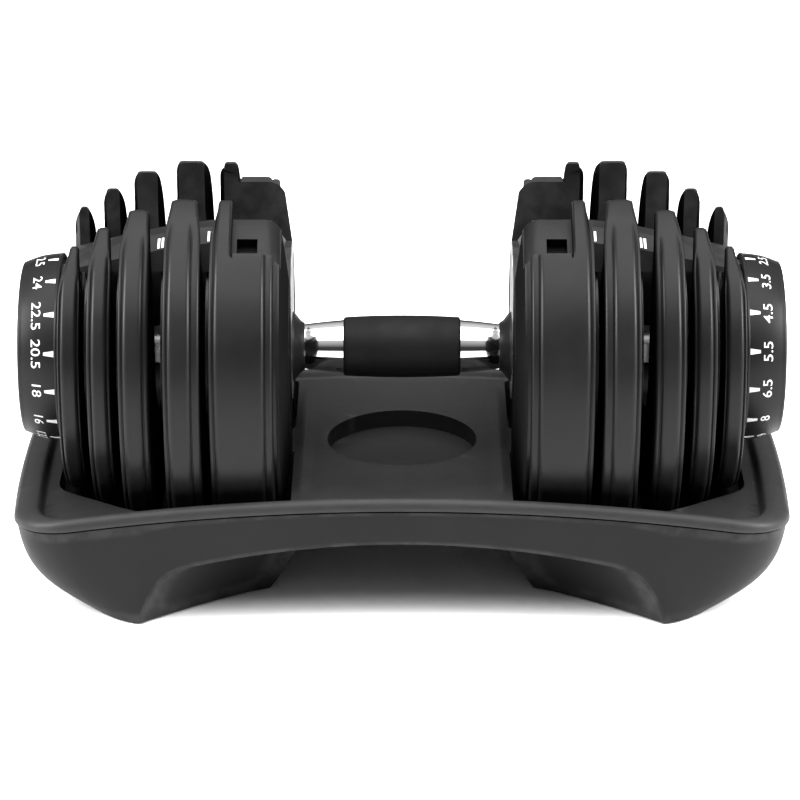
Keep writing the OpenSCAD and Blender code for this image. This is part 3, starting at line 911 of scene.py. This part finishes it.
def build_lip(bm):
    """Adds the lip's rings and returns the innermost one."""
    rings = []
    for inset, height in LIP_PROFILE:
        ring = outline(inset * MM, END_WIDENING * smooth_step((inset - 0.6) / 3.8))
        rings.append([bm.verts.new((p.x, p.y, SEAM + height * MM)) for p in ring])
    total = len(rings[0])
    for near, far in zip(rings, rings[1:]):
        for i in range(total):
            j = (i + 1) % total
            bm.faces.new((near[i], near[j], far[j], far[i]))
    return rings[-1]


def encloses(points, c):
    """Whether the closed loop of points goes round c in plan."""
    hit = False
    for i, p in enumerate(points):
        q = points[i - 1]
        if (p.y > c.y) != (q.y > c.y) and c.x < (q.x - p.x) * (c.y - p.y) / (q.y - p.y) + p.x:
            hit = not hit
    return hit


def fill_deck(bm, layer, lip):
    """Fills everything inside the lip at deck height and marks each face's part."""
    wells = [well_outline(s) for s in (1, -1)]
    turns = [math.tau * i / DISH_SIDES for i in range(DISH_SIDES)]
    dish = [Vector((DISH_R * math.cos(a), DISH_R * math.sin(a))) for a in turns]
    loops = [lip]
    loops += [[bm.verts.new((p.x, p.y, DECK)) for p in points] for points in wells + [dish]]
    borders = []
    for loop in loops:
        pairs = list(zip(loop, loop[1:] + loop[:1]))
        borders.append([bm.edges.get(pair) or bm.edges.new(pair) for pair in pairs])
    flat = []
    for edges in [sum(borders, [])] + borders[1:]:
        filled = bmesh.ops.triangle_fill(bm, use_beauty=True, use_dissolve=False, edges=edges)
        flat += [f for f in filled["geom"] if isinstance(f, bmesh.types.BMFace)]
    for f in flat:
        c = f.calc_center_median()
        if any(encloses(well, c) for well in wells):
            f[layer] = WELL_PART
        elif math.hypot(c.x, c.y) < DISH_R:
            f[layer] = DISH_PART
        else:
            f[layer] = DECK_PART


def divide_deck(bm, layer):
    """Adds rows of points both ways, so that the deck can follow the arch and the floors."""
    lines = [i * 8 * MM for i in range(-27, 28)]
    lines += [s * x * MM for s in (-1, 1) for x in (50, 52, 54, 56.5, 59, 61)]
    for x in sorted(set(lines)):
        bmesh.ops.bisect_plane(bm, geom=bm.verts[:] + bm.edges[:] + bm.faces[:], dist=1e-7,
                               plane_co=(x, 0, 0), plane_no=(1, 0, 0))
    for i in range(-11, 12):
        faces = [f for f in bm.faces if f[layer]]
        bmesh.ops.bisect_plane(bm, geom=each(faces, "verts") + each(faces, "edges") + faces,
                               dist=1e-7, plane_co=(0, i * 8 * MM, 0), plane_no=(0, 1, 0))


def spot(point):
    """A point's place, rounded so that two points at one place give the same."""
    return tuple(round(c, 7) for c in point)


def drop_floor(bm, layer, part, height):
    """Cuts one part's faces free, moves them to height(x, y) and walls the gap that opens."""
    faces = [f for f in bm.faces if f[layer] == part]
    border = [e for e in each(faces, "edges") if any(g[layer] != part for g in e.link_faces)]
    walls = [(spot(e.verts[0].co), spot(e.verts[1].co)) for e in border]
    ends = {end for wall in walls for end in wall}
    bmesh.ops.split_edges(bm, edges=border)
    faces = [f for f in bm.faces if f[layer] == part]
    others = [f for f in bm.faces if f[layer] != part]
    below = {spot(v.co): v for v in each(faces, "verts")}
    above = {spot(v.co): v for v in each(others, "verts") if spot(v.co) in ends}
    for v in each(faces, "verts"):
        v.co.z = height(v.co.x, v.co.y)
    for a, b in walls:
        quad = (above.get(a), above.get(b), below.get(b), below.get(a))
        if None not in quad and len(set(quad)) == 4:
            bm.faces.new(quad)


def build_tray_top():
    """The deck with its lip, wells and dish, drawn flat and then arched."""
    bm = bmesh.new()
    layer = bm.faces.layers.int.new("part")
    fill_deck(bm, layer, build_lip(bm))
    divide_deck(bm, layer)
    drop_floor(bm, layer, WELL_PART,
               lambda x, y: min(well_floor(x, y), WELL_TOP) + x * x / (2 * ARCH_R))
    drop_floor(bm, layer, DISH_PART, lambda x, y: DECK - DISH_DEPTH)
    for v in bm.verts:
        if abs(v.co.z - DECK) < 1e-7:
            v.co.z = deck_height(v.co.x, v.co.y)
        v.co.z = arched(v.co.x, v.co.z)
    mesh = rounded(mesh_from(bm, "tray_deck", 40), "tray_deck", 1.3 * MM, 58, 3, 40)
    place(mesh, "tray_deck", "tray_top", TRAY)


SEAM_GAP = 0.6 * MM
SOLE_Z = 1.2 * MM
SHELL_INSET = 1.5               # mm that the shell stands back from the deck's edge
SHELL_WALL = 2.6 * MM
# The arch's lower edge in mm as (x, height): on the front face, and half way through the tray
TUNNEL = [(146, 1.2), (144.5, 5.5), (142, 12), (139, 18.5), (135, 24.6), (130, 29.4), (124, 32.8),
          (118, 35.1), (104, 38.2), (90, 40.9), (75, 43.4), (60, 45.4), (45, 47.0), (30, 48.1),
          (15, 48.8), (0, 49)]
THROAT = [(75, 1.2), (71.5, 6), (68, 11.2), (64.5, 17), (61, 23), (58, 28.5), (54.5, 34), (50.5, 38.6),
          (45.5, 42.2), (40, 44.6), (34, 46.2), (28, 47.2), (21, 48), (14, 48.5), (7, 48.8), (0, 49)]
THROAT_Y = 56                   # mm from the middle, where the front flare ends
PILLAR_X = 118                  # mm from the middle, where the arch turns down into the pod
# Plan of a pod's outer foot line in mm, from the front corner to the middle of the end
FOOT_LINE = [(146, -105), (153, -102.6), (160, -98.4), (167, -92), (174, -83.5), (180.5, -73), (186, -61),
             (191, -48), (195, -34), (197.5, -18), (198.5, 0)]


def crease_height(x):
    """Height of the apron's lower edge on the front face, at distance x from the middle."""
    x = abs(x) / MM
    if x < PILLAR_X:
        return (49 - x * x / 1000) * MM
    return between([knot for knot in reversed(TUNNEL) if knot[0] >= PILLAR_X], x) * MM


def foot_point(share):
    """The point at the given share of the way along FOOT_LINE."""
    at = min(share, 0.99999) * (len(FOOT_LINE) - 1)
    i = int(at)
    a, b = Vector(FOOT_LINE[i]), Vector(FOOT_LINE[i + 1])
    return (a + (b - a) * (at - i)) * MM


def shell_columns():
    """Outer skin of the shell for one quadrant (x > 0, y < 0): columns from the seam down."""
    rows = 16
    ring = [p for p in outline(SHELL_INSET * MM) if p.x > -1e-6 and p.y < 1e-6]
    ring.sort(key=lambda p: math.atan2(-p.y, p.x), reverse=True)
    columns = []
    for x, _ in reversed(TUNNEL):
        top = arched(x * MM, SEAM - SEAM_GAP)
        foot_z = crease_height(x * MM)
        columns.append([Vector((x * MM, ring[0].y, top + (foot_z - top) * j / rows))
                        for j in range(rows + 1)])
    path = [columns[-1][0].xy] + [p for p in ring if p.x > 148 * MM]
    lengths = [0.0]
    for a, b in zip(path, path[1:]):
        lengths.append(lengths[-1] + (b - a).length)
    for p, at in zip(path[1:], lengths[1:]):
        share = at / lengths[-1]
        foot = foot_point(share)
        power = 1.2 + 2.2 * smooth_step(share / 0.7)
        top = arched(p.x, SEAM - SEAM_GAP)
        column = []
        for j in range(rows + 1):
            t = j / rows
            pull = 0.24 * t + 0.76 * t ** power
            column.append(Vector((p.x + (foot.x - p.x) * pull, p.y + (foot.y - p.y) * pull,
                                  top + (SOLE_Z - top) * t)))
        columns.append(column)
    return columns


def flare_rows():
    """Rows of the arch's underside for one quadrant, from the front face back to the middle."""
    face_y = TRAY_Y / MM - SHELL_INSET
    rows = []
    steps = 10
    for i in range(steps + 1):
        t = i / steps
        y = -(face_y + (THROAT_Y - face_y) * t)
        f = (1 - t) ** 0.82
        rows.append([Vector((b[0] + (a[0] - b[0]) * f, y, b[1] + (a[1] - b[1]) * f)) * MM
                     for a, b in zip(TUNNEL, THROAT)])
    for i in range(1, 5):
        rows.append([Vector((b[0], -THROAT_Y * (1 - i / 4), b[1])) * MM for b in THROAT])
    return rows


def skin(bm, columns):
    """Adds faces between neighbouring columns and returns the grid of their points."""
    grid = [[bm.verts.new(p) for p in column] for column in columns]
    for a, b in zip(grid, grid[1:]):
        for i in range(len(a) - 1):
            bm.faces.new((a[i], a[i + 1], b[i + 1], b[i]))
    return grid


def shares_along(edge):
    """How far along a row of points each one lies, from 0 to 1."""
    sizes = [0.0]
    for a, b in zip(edge, edge[1:]):
        sizes.append(sizes[-1] + (b.co - a.co).length)
    return [size / sizes[-1] for size in sizes]


def close_sole(bm, inner, outer):
    """Fills the pod's sole between the arch's foot line and the outer foot line."""
    inner_at = shares_along(inner)
    outer_at = shares_along(outer)
    i = k = 0
    while i < len(inner) - 1 or k < len(outer) - 1:
        next_inner = inner_at[i + 1] if i < len(inner) - 1 else 2
        next_outer = outer_at[k + 1] if k < len(outer) - 1 else 2
        if next_inner <= next_outer:
            corners = (inner[i], inner[i + 1], outer[k])
            i += 1
        else:
            corners = (inner[i], outer[k + 1], outer[k])
            k += 1
        if len({tuple(v.co) for v in corners}) == 3:
            bm.faces.new(corners)


def build_tray_shell():
    """One quadrant of the shell's skin, mirrored twice and given its wall."""
    bm = bmesh.new()
    outer = skin(bm, shell_columns())
    arch = skin(bm, flare_rows())
    close_sole(bm, [row[0] for row in arch], [column[-1] for column in outer[len(TUNNEL) - 1:]])
    bmesh.ops.remove_doubles(bm, verts=bm.verts, dist=1e-5)
    for mirror in ((-1, 1, 1), (1, -1, 1)):
        copy = bmesh.ops.duplicate(bm, geom=bm.verts[:] + bm.edges[:] + bm.faces[:])
        verts = [g for g in copy["geom"] if isinstance(g, bmesh.types.BMVert)]
        faces = [g for g in copy["geom"] if isinstance(g, bmesh.types.BMFace)]
        bmesh.ops.scale(bm, verts=verts, vec=mirror)
        bmesh.ops.reverse_faces(bm, faces=faces)
    bmesh.ops.remove_doubles(bm, verts=bm.verts, dist=1e-5)
    base = new_object("tray_base", mesh_from(bm, "tray_base", 28))
    solid = base.modifiers.new("wall", "SOLIDIFY")
    solid.thickness = SHELL_WALL
    solid.offset = -1
    mesh = applied(base, "tray_base", 28)
    for v in mesh.vertices:
        v.co.z = max(v.co.z, 0.4 * MM)
    mesh = rounded(mesh, "tray_base", 1.0 * MM, 32, 3, 40)
    place(mesh, "tray_base", "tray_shell", SHELL)


# ---- CAD nodes that stay ----

def dress_cad():
    """Gives every CAD node that still shows its material and rounded edges."""
    for name, obj in frame["nodes"].items():
        obj.data.materials.clear()
        obj.data.materials.append(MATERIALS[SLOT_OF[name]])
        bevel = obj.modifiers.new("soft_edges", "BEVEL")
        bevel.width = 0.35 * MM
        bevel.segments = 2
        bevel.limit_method = "ANGLE"
        bevel.angle_limit = math.radians(45)


# ---- stage ----

def build_stage():
    """A pale floor, a sky that is bright overhead, and three soft lights."""
    bm = bmesh.new()
    bmesh.ops.create_grid(bm, x_segments=1, y_segments=1, size=6)
    floor = new_object("floor", mesh_from(bm, "floor"))
    n = Nodes("floor_white")
    n.link(n.mix(n.ramp(n.noise(2, 2), 0, 1), grey(0.88), grey(0.9)), n.shader.inputs["Base Color"])
    n.shader.inputs["Roughness"].default_value = 0.9
    floor.data.materials.append(n.material)

    world = bpy.data.worlds.new("studio")
    world.use_nodes = True
    tree = world.node_tree
    coords = tree.nodes.new("ShaderNodeTexCoord")
    parts = tree.nodes.new("ShaderNodeSeparateXYZ")
    ramp = tree.nodes.new("ShaderNodeMapRange")
    for socket, value in (("From Min", 0.25), ("From Max", 0.8), ("To Min", 0.06), ("To Max", 1.0)):
        ramp.inputs[socket].default_value = value
    tree.links.new(coords.outputs["Generated"], parts.inputs["Vector"])
    tree.links.new(parts.outputs["Z"], ramp.inputs["Value"])
    tree.links.new(ramp.outputs["Result"], tree.nodes["Background"].inputs["Strength"])
    tree.nodes["Background"].inputs["Color"].default_value = (1, 1, 1, 1)
    bpy.context.scene.world = world
    sun("overhead", (0.0, -0.15, 1.0), 5.5, 70)
    lamp("left", (-1.3, -0.3, 0.75), 42, 0.25, 0.8)
    lamp("right", (1.3, -0.3, 0.75), 42, 0.25, 0.8)
    bpy.context.scene.view_settings.view_transform = "Standard"


def add_light(name, kind, energy, where):
    light = bpy.data.lights.new(name, kind)
    light.energy = energy
    obj = new_object(name, light)
    obj.location = where
    aim = Vector((0, 0, AXIS_Z)) - Vector(where)
    obj.rotation_euler = aim.to_track_quat("-Z", "Y").to_euler()
    return light


def sun(name, where, strength, spread):
    add_light(name, "SUN", strength, where).angle = math.radians(spread)


def lamp(name, where, power, wide, tall):
    light = add_light(name, "AREA", power, where)
    light.shape = "RECTANGLE"
    light.size = wide
    light.size_y = tall


def build_camera():
    """The photo's viewpoint: level from side to side, looking down by about 21 degrees."""
    camera = bpy.data.cameras.new("camera")
    camera.lens = 165.3
    camera.sensor_width = 36
    camera.clip_end = 20
    obj = new_object("camera", camera)
    obj.location = (-0.0011, -1.9694, AXIS_Z + 0.7272)
    obj.rotation_euler = (math.radians(90 - 21.105), 0, 0)
    bpy.context.scene.camera = obj


dress_cad()
build_plates()
build_handle()
build_frame_marks()
build_dials()
build_tray_top()
build_tray_shell()
build_stage()
build_camera()
